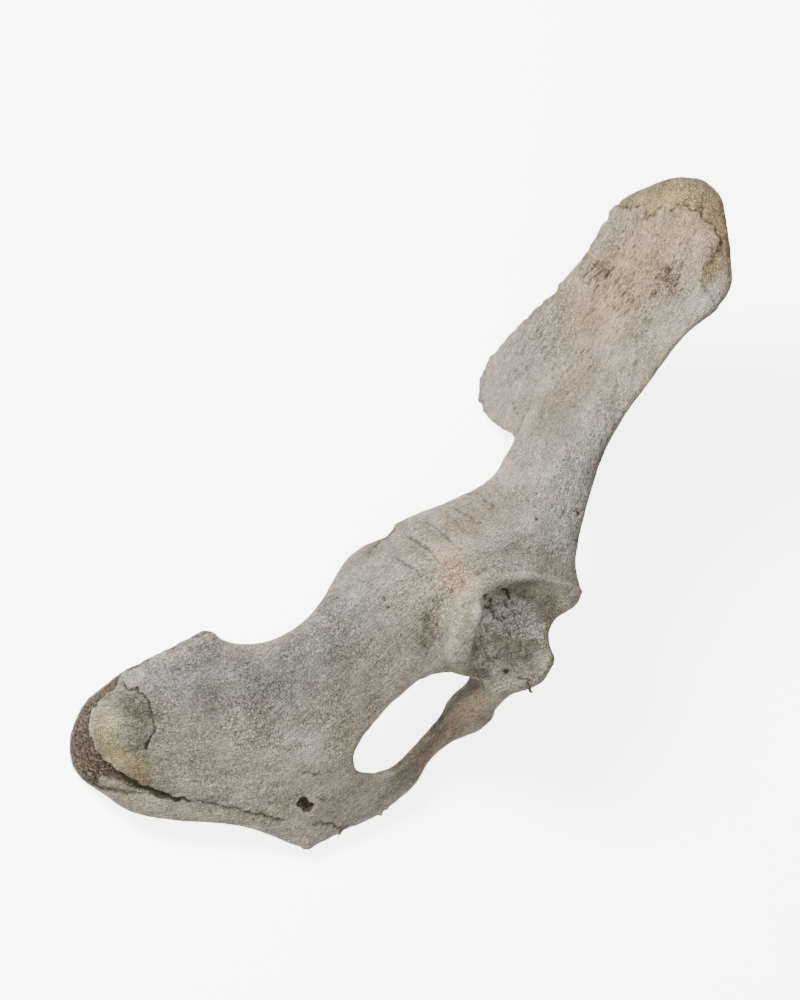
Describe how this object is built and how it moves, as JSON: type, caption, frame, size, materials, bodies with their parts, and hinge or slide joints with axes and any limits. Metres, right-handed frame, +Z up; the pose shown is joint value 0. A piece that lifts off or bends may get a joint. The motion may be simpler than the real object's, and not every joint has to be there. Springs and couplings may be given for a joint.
{
  "type": "cow hip bone",
  "caption": "Right hip bone of a young cow with a deep round hip socket, a long oval opening, a broad flaring wing and a thick sitting end, lying on its inner side.",
  "frame": {"origin": "centre of the bounding box at its bottom, on the surface the bone lies on", "axes": "+X from the sitting end to the hip point, along the bone's long way; +Z up off the surface; the socket opens up and toward -Y"},
  "size_m": [0.4734, 0.1842, 0.1582],
  "materials": {
    "bone": "matte weathered bone"
  },
  "bodies": {
    "root": {"hip_bone": "bone"}
  },
  "joints": []
}
